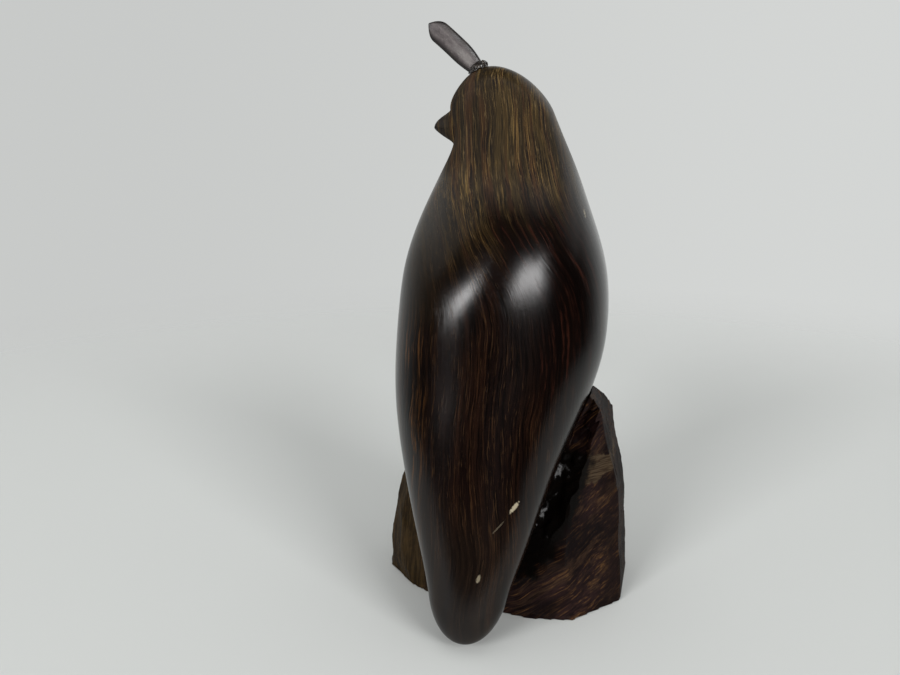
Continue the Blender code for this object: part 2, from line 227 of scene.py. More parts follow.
class Nodes:
    """Writes one material's nodes in few words."""

    def __init__(self, name):
        self.material = bpy.data.materials.new(name)
        self.material.use_nodes = True
        self.tree = self.material.node_tree
        self.tree.nodes.clear()
        self.shader = self.add("ShaderNodeBsdfPrincipled")
        output = self.add("ShaderNodeOutputMaterial")
        self.tree.links.new(self.shader.outputs["BSDF"], output.inputs["Surface"])
        place = self.add("ShaderNodeTexCoord")
        self.place = self.vector("SCALE", place.outputs["Object"], scale=1 / MM)

    def add(self, kind, **settings):
        node = self.tree.nodes.new(kind)
        for key, value in settings.items():
            setattr(node, key, value)
        return node

    def put(self, socket, value):
        if isinstance(value, bpy.types.NodeSocket):
            self.tree.links.new(value, socket)
        elif isinstance(value, tuple) and len(value) == 3 and socket.type == "RGBA":
            socket.default_value = (*value, 1.0)
        else:
            socket.default_value = value

    def math(self, operation, a, b):
        node = self.add("ShaderNodeMath", operation=operation)
        for socket, value in zip(node.inputs, (a, b)):
            self.put(socket, value)
        return node.outputs[0]

    def vector(self, operation, a, b=None, scale=None):
        node = self.add("ShaderNodeVectorMath", operation=operation)
        self.put(node.inputs[0], a)
        if b is not None:
            self.put(node.inputs[1], b)
        if scale is not None:
            node.inputs["Scale"].default_value = scale
        return node.outputs["Value"] if operation in ("DOT_PRODUCT", "LENGTH") else node.outputs["Vector"]

    def parts(self, vector):
        node = self.add("ShaderNodeSeparateXYZ")
        self.put(node.inputs[0], vector)
        return node.outputs

    def joined(self, x, y, z):
        node = self.add("ShaderNodeCombineXYZ")
        for socket, value in zip(node.inputs, (x, y, z)):
            self.put(socket, value)
        return node.outputs[0]

    def noise(self, at, stretch, detail, rough=0.5):
        """Noise from 0 to 1, about 0.5 on average; stretch is per axis, in waves per millimetre."""
        node = self.add("ShaderNodeTexNoise")
        self.put(node.inputs["Vector"], self.vector("MULTIPLY", at, stretch))
        node.inputs["Scale"].default_value = 1.0
        node.inputs["Detail"].default_value = detail
        node.inputs["Roughness"].default_value = rough
        return node.outputs["Fac"]

    def range(self, value, low, high, to_low=0.0, to_high=1.0):
        """An eased step from to_low to to_high, as the value goes from low to high."""
        node = self.add("ShaderNodeMapRange", interpolation_type="SMOOTHSTEP")
        for key, number in zip(RANGE_SOCKETS, (value, low, high, to_low, to_high)):
            self.put(node.inputs[key], number)
        return node.outputs["Result"]

    def mix(self, factor, a, b):
        node = self.add("ShaderNodeMix", data_type="RGBA")
        self.put(node.inputs[0], factor)
        self.put(node.inputs[6], a)
        self.put(node.inputs[7], b)
        return node.outputs[2]

    def mix_number(self, factor, a, b):
        node = self.add("ShaderNodeMix", data_type="FLOAT")
        for socket, value in zip((node.inputs[0], node.inputs[2], node.inputs[3]), (factor, a, b)):
            self.put(socket, value)
        return node.outputs[0]

    def scaled(self, vector, by):
        """A fixed vector times a varying number."""
        node = self.add("ShaderNodeVectorMath", operation="SCALE")
        node.inputs[0].default_value = vector
        self.put(node.inputs["Scale"], by)
        return node.outputs["Vector"]

    def bump(self, height, distance):
        """Relief of so many millimetres."""
        node = self.add("ShaderNodeBump")
        node.inputs["Strength"].default_value = 1.0
        node.inputs["Distance"].default_value = distance * MM
        self.put(node.inputs["Height"], height)
        return node.outputs["Normal"]

    def set(self, **values):
        names = {
            "colour": "Base Color",
            "roughness": "Roughness",
            "normal": "Normal",
            "coat": "Coat Weight",
            "coat_roughness": "Coat Roughness",
            "specular": "Specular IOR Level",
            "coat_normal": "Coat Normal",
            "alpha": "Alpha",
        }
        for key, value in values.items():
            self.put(self.shader.inputs[names[key]], value)


# ================================================================ materials
def bird_grain(n, x, y, z):
    """The way across the grain, and the place as the grain sees it: across, in depth and along.

    The grain runs up the bird, leans over across its shoulders and fans out slightly from its breast.
    """
    lean = n.range(z, *SHOULDERS, 0.0, SHOULDER_LEAN)
    wander = n.math("SUBTRACT", n.noise(n.place, (0.022, 0.022, 0.022), detail=1.0), 0.5)
    wriggle = n.math("SUBTRACT", n.noise(n.place, (0.09, 0.05, 0.055), detail=2.0), 0.5)
    u = n.math("ADD", n.math("SUBTRACT", x, lean), n.math("MULTIPLY", wander, 11.0))
    u = n.math("ADD", u, n.math("MULTIPLY", wriggle, 2.0))
    fan = n.math("ARCTAN2", u, n.math("ADD", y, FAN_CENTRE))
    fan = n.math("MULTIPLY", fan, FAN_CENTRE + BACK_AT)
    return u, n.joined(fan, y, z)


def polished_ironwood():
    """Dark heartwood with golden streaks along the grain, olive towards the head, polished to a satin."""
    n = Nodes("polished_ironwood")
    x, y, z = n.parts(n.place)
    u, grain = bird_grain(n, x, y, z)

    patch = n.noise(grain, (0.060, 0.030, 0.014), detail=2.0)
    band = n.noise(grain, (0.21, 0.030, 0.010), detail=3.0, rough=0.6)
    elsewhere = n.vector("ADD", grain, (200.0, 0.0, 50.0))
    warm = n.noise(elsewhere, (0.34, 0.030, 0.008), detail=2.0, rough=0.6)
    streak = n.noise(grain, (0.80, 0.060, 0.022), detail=4.0, rough=0.7)
    line = n.noise(grain, (2.6, 0.12, 0.034), detail=2.0, rough=0.7)
    gap = n.noise(grain, (0.9, 0.20, 0.11), detail=2.0, rough=0.7)
    pore = n.noise(grain, (3.0, 0.35, 0.13), detail=2.0, rough=0.7)

    edge = n.math("ADD", z, n.math("MULTIPLY", n.math("SUBTRACT", band, 0.5), 34.0))
    edge = n.math("ADD", edge, n.math("MULTIPLY", x, 0.32))
    head = n.range(edge, *HEAD_TURNS_OLIVE)
    dark = n.mix(n.range(patch, 0.38, 0.62), (0.0017, 0.0006, 0.0005), (0.0046, 0.0017, 0.0012))
    dark = n.mix(n.range(band, 0.50, 0.66, 0.0, 0.8), dark, (0.0125, 0.0046, 0.0022))
    olive = n.mix(n.range(band, 0.38, 0.60), (0.0170, 0.0102, 0.0034), (0.0370, 0.0225, 0.0064))
    olive = n.mix(n.range(warm, 0.50, 0.64, 0.0, 0.8), olive, (0.0420, 0.0170, 0.0055))
    colour = n.mix(head, dark, olive)

    gold = n.mix(head, (0.042, 0.0175, 0.0062), (0.190, 0.115, 0.034))
    thread = n.range(line, 0.51, 0.60)
    plain = n.mix_number(head, n.range(patch, 0.42, 0.56, 0.30, 1.0), 1.0)
    thread = n.math("MULTIPLY", thread, n.mix_number(head, n.range(gap, 0.42, 0.58, 0.1, 1.0), 1.0))
    thread = n.math("MULTIPLY", thread, plain)
    strength = n.math("MULTIPLY", n.range(streak, 0.46, 0.62), n.range(band, 0.34, 0.58, 0.35, 1.0))
    strength = n.math("MULTIPLY", strength, n.mix_number(head, 0.50, 0.85))
    colour = n.mix(n.math("MULTIPLY", thread, strength), colour, gold)
    shade = n.mix(head, (0.0009, 0.0004, 0.0003), (0.0045, 0.0022, 0.0011))
    colour = n.mix(n.range(line, 0.49, 0.40, 0.0, 0.90), colour, shade)
    colour = n.mix(n.range(pore, 0.40, 0.28, 0.0, 0.65), colour, shade)
    dash = n.math("MULTIPLY", n.range(pore, 0.57, 0.66), n.range(streak, 0.44, 0.60, 0.2, 0.75))
    dash = n.math("MULTIPLY", dash, plain)
    colour = n.mix(dash, colour, n.mix(head, (0.036, 0.0180, 0.0075), (0.150, 0.098, 0.040)))

    colour = side_streaks(n, colour, (x, u, z, edge), streak, gap)
    # Painted sheen: the tail is painted greyer, standing in for the pale room that its polish mirrors.
    tail = n.range(z, *TAIL_PAINTED_SHEEN, 0.0, 0.35)
    grey = n.mix(n.range(streak, 0.36, 0.64), (0.0085, 0.0052, 0.0040), (0.0280, 0.0165, 0.0100))
    colour = n.mix(tail, colour, grey)

    # The beak darkens towards its tip.
    tip = n.range(x, BEAK_BASE, BEAK_BASE + BEAK_LENGTH, 0.0, 0.95)
    tip = n.math("MULTIPLY", tip, n.range(z, *BEAK_DARK_ABOVE))
    colour = n.mix(tip, colour, (0.0070, 0.0042, 0.0026))
    colour = sapwood_flecks(n, colour)
    rough = bird_roughness(n, x, z, line, patch)
    normal = n.bump(n.math("ADD", n.math("MULTIPLY", line, 0.7), n.math("MULTIPLY", pore, 0.5)), 0.055)
    n.set(colour=colour, roughness=rough, normal=normal, specular=0.26)
    return n.material


def side_streaks(n, colour, places, streak, gap):
    """Orange streaks low on the left side, and red ones in a near-black stripe down the right one."""
    x, u, z, edge = places
    left = n.math("MULTIPLY", n.range(x, *LEFT_FLAMES), n.range(z, *LEFT_FLAMES_HIGH))
    flame = n.math("MULTIPLY", n.math("MULTIPLY", left, n.range(streak, 0.48, 0.66)), 0.85)
    flame = n.math("MULTIPLY", flame, n.range(gap, 0.42, 0.56, 0.2, 1.0))
    colour = n.mix(flame, colour, (0.090, 0.038, 0.011))
    right = n.math("MULTIPLY", n.range(u, *RIGHT_STRIPE), n.range(z, *RIGHT_STRIPE_HIGH))
    right = n.math("MULTIPLY", right, n.range(edge, *RIGHT_STRIPE_TOP))
    colour = n.mix(n.math("MULTIPLY", right, 0.80), colour, (0.0022, 0.0010, 0.0008))
    ember = n.math("MULTIPLY", n.math("MULTIPLY", right, n.range(streak, 0.48, 0.66)), 0.8)
    ember = n.math("MULTIPLY", ember, n.range(gap, 0.44, 0.60, 0.15, 1.0))
    colour = n.mix(ember, colour, (0.028, 0.0082, 0.0046))
    # The left shoulder is a plainer brown.
    shoulder = n.math("MULTIPLY", n.range(x, *LEFT_SHOULDER), n.range(z, *LEFT_SHOULDER_TOP, 0.0, 0.55))
    shoulder = n.math("MULTIPLY", shoulder, n.range(z, *LEFT_SHOULDER_FOOT))
    colour = n.mix(shoulder, colour, (0.0110, 0.0070, 0.0030))
    return colour


def bird_roughness(n, x, z, line, patch):
    """The head is only satin where it is seen square on, and shines at its edges like the rest."""
    facing = n.add("ShaderNodeLayerWeight").outputs["Facing"]
    face = n.math("MULTIPLY", n.range(x, *FACE), n.range(z, *FACE_HIGH))
    square_on = n.math("MAXIMUM", n.range(facing, 0.48, 0.20), face)
    satin = n.math("MULTIPLY", n.range(z, *HEAD_TURNS_SATIN), square_on)
    satin = n.math("MULTIPLY", satin, n.range(x, BEAK_BASE - 1.0, BEAK_BASE + 2.0, 1.0, 0.55))
    polish = n.mix_number(satin, n.range(z, *CROWN, *POLISH_ROUGHNESS), SATIN_ROUGHNESS)
    rough = n.math("ADD", polish, n.math("MULTIPLY", n.math("SUBTRACT", line, 0.5), 0.08))
    return n.math("ADD", rough, n.math("MULTIPLY", n.math("SUBTRACT", patch, 0.5), 0.06))


def sapwood_flecks(n, colour):
    """Two pale flecks low on the back, a faint scratch by the upper one, and a tick up on the right."""
    pale = (0.42, 0.36, 0.25)
    flecks = (  # middle, direction of its length, half length, half width, strength
        ((-14.2, 57.5, 50.5), (-0.60, 0.0, 0.80), 2.1, 0.75, 0.85),
        ((-9.6, 59.0, 44.5), (-0.66, 0.0, 0.75), 2.8, 0.30, 0.14),
        ((-4.2, 66.0, 28.0), (-0.30, 0.0, 0.95), 1.5, 0.65, 0.40),
        ((-29.5, 24.0, 143.0), (0.30, 0.0, 0.95), 2.2, 0.28, 0.60),
    )
    ragged = n.noise(n.place, (1.6, 1.6, 1.6), detail=2.0)
    ragged = n.math("MULTIPLY", n.math("SUBTRACT", ragged, 0.5), 1.3)
    for middle, towards, long, wide, strength in flecks:
        d = Vector(towards).normalized()
        away = n.vector("SUBTRACT", n.place, middle)
        along = n.math("DIVIDE", n.vector("DOT_PRODUCT", away, tuple(d)), long)
        across = n.math("DIVIDE", n.vector("DOT_PRODUCT", away, (d.z, 0.0, -d.x)), wide)
        deep = n.math("DIVIDE", n.vector("DOT_PRODUCT", away, (0.0, 1.0, 0.0)), 12.0)
        far = n.vector("LENGTH", n.joined(along, across, deep))
        inside = n.range(n.math("ADD", far, ragged), 1.15, 0.55, 0.0, strength)
        colour = n.mix(inside, colour, pale)
    return colour


def hewn_ironwood():
    """The block's wood, figured across the faces by slanting growth layers, under a gloss varnish."""
    n = Nodes("hewn_ironwood")
    x, y, z = n.parts(n.place)
    bend = n.noise(n.place, (0.035, 0.035, 0.035), detail=2.0)
    swirl = n.math("MULTIPLY", n.math("SUBTRACT", bend, 0.5), 9.0)
    layer = n.math("ADD", n.math("ADD", n.math("MULTIPLY", z, 0.80), n.math("MULTIPLY", x, 0.60)), swirl)
    along = n.math("ADD", n.math("MULTIPLY", x, 0.80), n.math("MULTIPLY", z, -0.60))
    grain = n.joined(layer, y, along)
    patch = n.noise(grain, (0.07, 0.05, 0.03), detail=2.0)
    band = n.noise(grain, (0.20, 0.10, 0.025), detail=3.0, rough=0.6)
    streak = n.noise(grain, (0.95, 0.20, 0.055), detail=4.0, rough=0.7)
    line = n.noise(grain, (2.8, 0.50, 0.090), detail=3.0, rough=0.75)
    ground = n.mix(n.range(patch, 0.38, 0.62), (0.0046, 0.0021, 0.0022), (0.0185, 0.0088, 0.0082))
    ground = n.mix(n.range(band, 0.50, 0.64, 0.0, 0.75), ground, (0.0350, 0.0185, 0.0110))
    gold = n.math("MULTIPLY", n.range(streak, 0.50, 0.64), n.range(line, 0.46, 0.60, 0.15, 1.0))
    gold = n.math("MULTIPLY", gold, n.range(patch, 0.40, 0.58, 0.25, 0.85))
    colour = n.mix(gold, ground, (0.125, 0.060, 0.021))
    colour = n.mix(n.range(line, 0.49, 0.36, 0.0, 0.85), colour, (0.0032, 0.0017, 0.0016))
    colour = n.mix(n.range(streak, 0.46, 0.36, 0.0, 0.65), colour, (0.0036, 0.0018, 0.0018))
    # The left end is plainer and paler, with upright grain.
    upright = n.noise(n.place, (0.9, 0.5, 0.05), detail=4.0, rough=0.7)
    pale = n.mix(n.range(upright, 0.40, 0.62), (0.015, 0.0092, 0.0036), (0.042, 0.0255, 0.0095))
    colour = n.mix(n.range(x, *BLOCK_LEFT_END, 0.0, 0.9), colour, pale)
    colour = n.mix(n.range(x, *BLOCK_RIGHT_END, 0.0, 0.5), colour, (0.0070, 0.0036, 0.0027))
    colour = clean_cut(n, colour)
    # Painted shade: the gouge beside the tail is painted nearly black.
    colour = gouge_painted_shade(n, colour)

    tool = n.noise(n.place, (0.9, 0.9, 0.35), detail=2.0)
    rough = n.math("ADD", 0.60, n.math("MULTIPLY", n.math("SUBTRACT", streak, 0.5), 0.25))
    normal = n.bump(n.math("ADD", n.math("MULTIPLY", line, 0.5), tool), 0.10)
    n.set(colour=colour, roughness=rough, normal=normal, specular=0.0, coat=0.12, coat_roughness=0.10)
    n.set(coat_normal=n.bump(tool, 0.10))
    return n.material


def clean_cut(n, colour):
    """One flat near the right end is cut cleaner, and shows pale with fine level lines."""
    level_line = n.noise(n.place, (0.12, 0.12, 2.0), detail=2.0, rough=0.7)
    clean = n.mix(n.range(level_line, 0.40, 0.60), (0.026, 0.0165, 0.0095), (0.070, 0.048, 0.028))
    beside = n.vector("SUBTRACT", n.place, CLEAN_CUT)
    beside = n.vector("LENGTH", n.vector("MULTIPLY", beside, CLEAN_CUT_SHAPE))
    torn = n.noise(n.place, (0.25, 0.25, 0.25), detail=3.0)
    torn = n.math("MULTIPLY", n.math("SUBTRACT", torn, 0.5), 1.1)
    return n.mix(n.range(n.math("ADD", beside, torn), 1.05, 0.90, 0.0, 0.85), colour, clean)


def gouge_painted_shade(n, colour):
    """Painted shade: the gouge beside the tail, in the tail's shadow, is painted nearly black."""
    towards = Vector(GOUGE_TOWARDS).normalized()
    away = n.vector("SUBTRACT", n.place, GOUGE_MIDDLE)
    length = n.vector("DOT_PRODUCT", away, tuple(towards))
    across = n.vector("LENGTH", n.vector("SUBTRACT", away, n.scaled(tuple(towards), length)))
    ragged = n.noise(n.place, (0.22, 0.22, 0.22), detail=3.0)
    ragged = n.math("MULTIPLY", n.math("SUBTRACT", ragged, 0.5), 9.0)
    painted_shade = n.range(n.math("ADD", across, ragged), PAINTED_SHADE_REACH + 2.5, PAINTED_SHADE_REACH - 1.0, 0.0, 0.97)
    painted_shade = n.math("MULTIPLY", painted_shade, n.range(n.math("ADD", length, ragged), *PAINTED_SHADE_TOP))
    return n.mix(painted_shade, colour, (0.0022, 0.0017, 0.0014))


def topknot_wood():
    """A pale grey-mauve face with a highlight painted down its middle, darker at its rounded edges."""
    n = Nodes("topknot_wood")
    rim = n.add("ShaderNodeAttribute", attribute_name="rim").outputs["Fac"]
    lean = math.radians(TOPKNOT_LEAN + TOPKNOT_CURL / 2)
    along = n.vector("DOT_PRODUCT", n.place, (math.sin(lean), 0.0, math.cos(lean)))
    across = n.vector("DOT_PRODUCT", n.place, (math.cos(lean), 0.0, -math.sin(lean)))
    mottle = n.noise(n.joined(along, across, 0.0), (0.22, 0.55, 1.0), detail=3.0, rough=0.6)
    line = n.noise(n.place, (1.6, 1.6, 0.9), detail=2.0)
    face = n.mix(n.range(mottle, 0.36, 0.64), (0.062, 0.050, 0.051), (0.118, 0.100, 0.098))
    face = n.mix(n.range(line, 0.58, 0.70, 0.0, 0.5), face, (0.20, 0.18, 0.165))
    start = Vector(TOPKNOT_ROOT).dot((math.sin(lean), 0.0, math.cos(lean)))
    side = n.math("SUBTRACT", across, Vector(TOPKNOT_ROOT).dot((math.cos(lean), 0.0, -math.sin(lean))))
    # Painted highlight: a pale streak down the middle of the face stands in for the polish's reflection.
    painted_highlight = n.range(along, start + 2.0, start + 5.0)
    painted_highlight = n.math("MULTIPLY", painted_highlight, n.range(along, start + 15.0, start + 8.0))
    middle = n.math("MULTIPLY", n.range(side, -2.4, -1.0), n.range(side, 1.4, 0.2))
    painted_highlight = n.math("MULTIPLY", painted_highlight, middle)
    face = n.mix(n.math("MULTIPLY", painted_highlight, 0.55), face, (0.26, 0.24, 0.23))
    edge = n.mix(n.range(mottle, 0.4, 0.6), (0.006, 0.004, 0.004), (0.018, 0.012, 0.010))
    # Darker towards the rounded edges, unevenly with the mottle.
    rim_blend = n.math("ADD", rim, n.math("MULTIPLY", n.math("SUBTRACT", mottle, 0.5), 0.5))
    colour = n.mix(n.range(rim_blend, 0.36, 0.84), face, edge)
    rough = n.range(mottle, 0.3, 0.7, 0.42, 0.58)
    n.set(colour=colour, roughness=rough, normal=n.bump(mottle, 0.02))
    return n.material


def set_glue():
    """Clear glue over dark wood, set hard and shiny with a few dusty specks."""
    n = Nodes("set_glue")
    cloud = n.noise(n.place, (0.8, 0.8, 0.8), detail=3.0)
    speck = n.noise(n.place, (3.0, 3.0, 3.0), detail=1.0)
    colour = n.mix(n.range(cloud, 0.42, 0.62), (0.007, 0.0050, 0.0042), (0.034, 0.026, 0.020))
    colour = n.mix(n.range(speck, 0.66, 0.74, 0.0, 0.35), colour, (0.30, 0.28, 0.25))
    n.set(colour=colour, roughness=0.30, normal=n.bump(cloud, 0.10), coat=0.6, coat_roughness=0.06)
    return n.material


def dowel_wood():
    """Bare pale dowel with its grain along its length."""
    n = Nodes("dowel_wood")
    grain = n.noise(n.place, (0.9, 0.9, 0.03), detail=3.0)
    pore = n.noise(n.place, (3.0, 3.0, 0.2), detail=1.0)
    colour = n.mix(n.range(grain, 0.35, 0.65), (0.42, 0.27, 0.14), (0.60, 0.43, 0.25))
    colour = n.mix(n.range(pore, 0.62, 0.72), colour, (0.25, 0.14, 0.07))
    n.set(colour=colour, roughness=n.range(pore, 0.3, 0.7, 0.5, 0.7), normal=n.bump(pore, 0.05))
    return n.material


def floor_paint():
    """Plain pale floor, which thins out to nothing far from the object, so that it has no horizon."""
    n = Nodes("pale_floor")
    cloud = n.noise(n.place, (0.004, 0.004, 0.004), detail=2.0)
    out = n.vector("LENGTH", n.vector("MULTIPLY", n.place, (1.0, 1.0, 0.0)))
    colour = n.mix(cloud, FLOOR_COLOUR, tuple(c * 1.03 for c in FLOOR_COLOUR))
    near = n.vector("DOT_PRODUCT", n.place, (-CAMERA_HEADING[0], -CAMERA_HEADING[1], 0.0))
    left = n.range(out, *FLOOR_FADE, 1.0, 0.0)
    left = n.math("MULTIPLY", left, n.range(near, *FLOOR_NEAR_FADE, 1.0, 0.0))
    n.set(colour=colour, roughness=0.6, specular=0.2, alpha=left)
    return n.material


# ================================================================ shape helpers
def natural_spline(knots, values):
    """The natural cubic through the points, as a function of one number."""
    x, y = np.array(knots, float), np.array(values, float)
    n, h = len(x), np.diff(x)
    system, right = np.eye(n), np.zeros(n)
    for i in range(1, n - 1):
        system[i, i - 1 : i + 2] = h[i - 1], 2 * (h[i - 1] + h[i]), h[i]
        right[i] = 6 * ((y[i + 1] - y[i]) / h[i] - (y[i] - y[i - 1]) / h[i - 1])
    bend = np.linalg.solve(system, right)

    def at(value):
        i = min(max(int(np.searchsorted(x, value)) - 1, 0), n - 2)
        a, b = x[i + 1] - value, value - x[i]
        return (
            (bend[i] * a**3 + bend[i + 1] * b**3) / (6 * h[i])
            + (y[i] / h[i] - bend[i] * h[i] / 6) * a
            + (y[i + 1] / h[i] - bend[i + 1] * h[i] / 6) * b
        )

    return at


def slice_curves():
    """Functions of height for the slices' middle x, half width, rear, widest y and front."""
    heights, *columns = zip(*SLICES)
    return [natural_spline(heights, column) for column in columns]


def end_cap(height, low, high):
    """The share of its full size that a slice keeps where the tail tip and the crown round off."""
    share = 1.0
    for distance, reach in ((height - low, TAIL_CAP), (high - height, CROWN_CAP)):
        if distance < reach:
            share *= math.sqrt(max(0.0, 1 - (1 - distance / reach) ** 2))
    return share


def beak_push(x, y, z):
    """How far a point of the face is drawn out along +X to form the beak."""
    if x < FACE_FRONT:
        return 0.0
    above = z > BEAK_HEIGHT
    tall = (z - BEAK_HEIGHT) / (BEAK_REACH_ABOVE if above else BEAK_REACH_BELOW)
    wide = (y - BEAK_MIDDLE_Y) / BEAK_HALF_WIDE
    away = math.hypot(tall, wide)
    if away >= 1:
        return 0.0
    fullness = BEAK_FULLNESS_ABOVE if above else BEAK_FULLNESS_BELOW
    return BEAK_LENGTH * (1 - away**fullness) * (1 - away**BEAK_FADE)


def ring_heights(rings, low, high, beak_rings):
    """Heights of the rings: closer together at both ends, and evenly close over the beak."""
    foot, top = BEAK_HEIGHT - BEAK_REACH_BELOW, BEAK_HEIGHT + BEAK_REACH_ABOVE
    heights = [low + (high - low) * (1 - math.cos(math.pi * i / rings)) / 2 for i in range(1, rings)]
    if beak_rings:
        heights = [height for height in heights if not foot <= height <= top]
        heights += [foot + (top - foot) * i / beak_rings for i in range(beak_rings + 1)]
    return sorted(heights)


def bird_rings(rings, sides, grow=0.0, beak_rings=0):
    """Rings of points up the bird, from tail tip to crown. grow stands the form off all round."""
    middle, half_width, rear, widest, front = slice_curves()
    low, high = SLICES[0][0], SLICES[-1][0]
    made = []
    for height in ring_heights(rings, low, high, beak_rings):
        share = end_cap(height, low, high)
        centre_x, centre_y = middle(height), widest(height)
        wide = half_width(height) * share + grow
        shallow = (centre_y - front(height)) * share + grow
        ring = []
        for j in range(sides):
            turn = 2 * math.pi * j / sides
            turn -= SIDE_CROWDING * math.sin(turn)
            x = centre_x + wide * math.cos(turn)
            twisted = min(max(height + TWIST * share * (x - centre_x), low), high)
            deep = (rear(twisted) - centre_y) * share + grow
            y = centre_y + (deep if math.sin(turn) > 0 else shallow) * math.sin(turn)
            push = beak_push(x, y, height) if beak_rings else 0.0
            ring.append((x + push, y, height))
        made.append(ring)
    ends = [(middle(z), widest(z), z + off) for z, off in ((low, -grow), (high, grow))]
    return made, ends


def loft(name, rings, ends):
    """A closed object from rings of points, closed by a fan to a point at each end."""
    mesh = bmesh.new()
    rows = [[mesh.verts.new(Vector(p) * MM) for p in ring] for ring in rings]
    foot, top = (mesh.verts.new(Vector(p) * MM) for p in ends)
    sides = len(rows[0])
    for j in range(sides):
        after = (j + 1) % sides
        mesh.faces.new((foot, rows[0][after], rows[0][j]))
        mesh.faces.new((top, rows[-1][j], rows[-1][after]))
        for lower, upper in zip(rows, rows[1:]):
            mesh.faces.new((lower[j], lower[after], upper[after], upper[j]))
    return finish_object(name, mesh)


def finish_object(name, mesh):
    bmesh.ops.recalc_face_normals(mesh, faces=mesh.faces)
    data = bpy.data.meshes.new(name)
    mesh.to_mesh(data)
    mesh.free()
    obj = bpy.data.objects.new(name, data)
    bpy.context.scene.collection.objects.link(obj)
    data.shade_smooth()
    return obj


def apply_modifiers(obj):
    depsgraph = bpy.context.evaluated_depsgraph_get()
    data = bpy.data.meshes.new_from_object(obj.evaluated_get(depsgraph))
    obj.modifiers.clear()
    obj.data = data


def cut_with(obj, cutters):
    """Cuts the closed shapes out of obj for good."""
    for cutter in cutters:
        boolean = obj.modifiers.new("cut", "BOOLEAN")
        boolean.operation = "DIFFERENCE"
        boolean.solver = "MANIFOLD"
        boolean.object = cutter
    apply_modifiers(obj)


def fit_to_node(obj, node):
    """Scales and moves obj's points so that its box is the CAD node's box."""
    low, high = (np.array(corner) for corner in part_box(node))
    co = np.array([v.co for v in obj.data.vertices])
    own_low, own_high = co.min(0), co.max(0)
    co = low + (co - own_low) * (high - low) / (own_high - own_low)
    obj.data.vertices.foreach_set("co", co.ravel())
    obj.data.update()


def stretched_ball(name, middle, radii):
    mesh = bmesh.new()
    bmesh.ops.create_icosphere(mesh, subdivisions=BALL_DETAIL, radius=1.0)
    bmesh.ops.scale(mesh, vec=Vector(radii) * MM, verts=mesh.verts)
    obj = finish_object(name, mesh)
    obj.location = Vector(middle) * MM
    return obj


def socket_cutter(name, y, foot, head):
    mesh = bmesh.new()
    radius = (DOWEL_RADIUS + GAP) * MM
    deep = (head - foot + 2 * GAP) * MM
    bmesh.ops.create_cone(
        mesh, cap_ends=True, segments=SOCKET_SIDES, radius1=radius, radius2=radius, depth=deep
    )
    obj = finish_object(f"{name}_socket", mesh)
    obj.location = Vector((0, y, (foot + head) / 2)) * MM
    return obj


# ================================================================ pieces
def make_body(cutters):
    body = loft("quail", *bird_rings(BODY_RINGS, BODY_SIDES, 0.0, BODY_BEAK_RINGS))
    fit_to_node(body, "quail_body")
    sand_by_hand(body)
    cut_with(body, cutters)
    body.data.shade_smooth()
    body.data.set_sharp_from_angle(angle=math.radians(SHARP_ANGLE))
    return body


def points_and_normals(data):
    count = len(data.vertices)
    co, normals = np.zeros(count * 3), np.zeros(count * 3)
    data.vertices.foreach_get("co", co)
    data.vertices.foreach_get("normal", normals)
    return co.reshape(-1, 3), normals.reshape(-1, 3)


def sand_by_hand(body):
    """Moves the surface in a little here and there, as hand sanding leaves it, never out past the CAD."""
    co, normals = points_and_normals(body.data)
    squash = Vector((1.0, 1.0, 0.6)) / (HAND_WAVE_LONG * MM)
    waves = np.array([noise.fractal(Vector(at) * squash, 0.8, 2.0, 2) for at in co])
    co -= normals * ((0.5 + 0.5 * np.clip(waves, -1, 1)) * HAND_WAVES * MM)[:, None]
    body.data.vertices.foreach_set("co", co.ravel())
    body.data.update()


def topknot_line(steps):
    x, z = TOPKNOT_ROOT[0], TOPKNOT_ROOT[2]
    made = []
    for i in range(steps + 1):
        lean = math.radians(TOPKNOT_LEAN + TOPKNOT_CURL * i / steps)
        made.append((x, z, math.cos(lean), -math.sin(lean)))
        x += math.sin(lean) * TOPKNOT_LENGTH / steps
        z += math.cos(lean) * TOPKNOT_LENGTH / steps
    return made


def topknot_width(share):
    """Full width across the topknot, swelling from its root towards a blunt rounded tip."""
    swell = math.sin(math.pi / 2 * min(1.0, share / TOPKNOT_SWELL_END))
    wide = TOPKNOT_ROOT_WIDE + (TOPKNOT_FULL_WIDE - TOPKNOT_ROOT_WIDE) * swell
    past = max(0.0, (share - TOPKNOT_TIP_START) / (1 - TOPKNOT_TIP_START))
    return wide * (1 - past**TOPKNOT_TIP_BLUNTNESS)


def leaf_ring(place, half, thick, grow):
    """One section across the leaf, its broad faces towards +Y and -Y."""
    x, z, across_x, across_z = place
    ring = []
    for j in range(TOPKNOT_SIDES):
        turn = 2 * math.pi * j / TOPKNOT_SIDES
        c, s = math.cos(turn), math.sin(turn)
        wide = (half + grow) * math.copysign(abs(c) ** LEAF_SIDE_POWER, c)
        deep = (thick + grow) * math.copysign(abs(s) ** LEAF_FACE_POWER, s)
        ring.append((x + across_x * wide, TOPKNOT_ROOT[1] + deep, z + across_z * wide))
    return ring


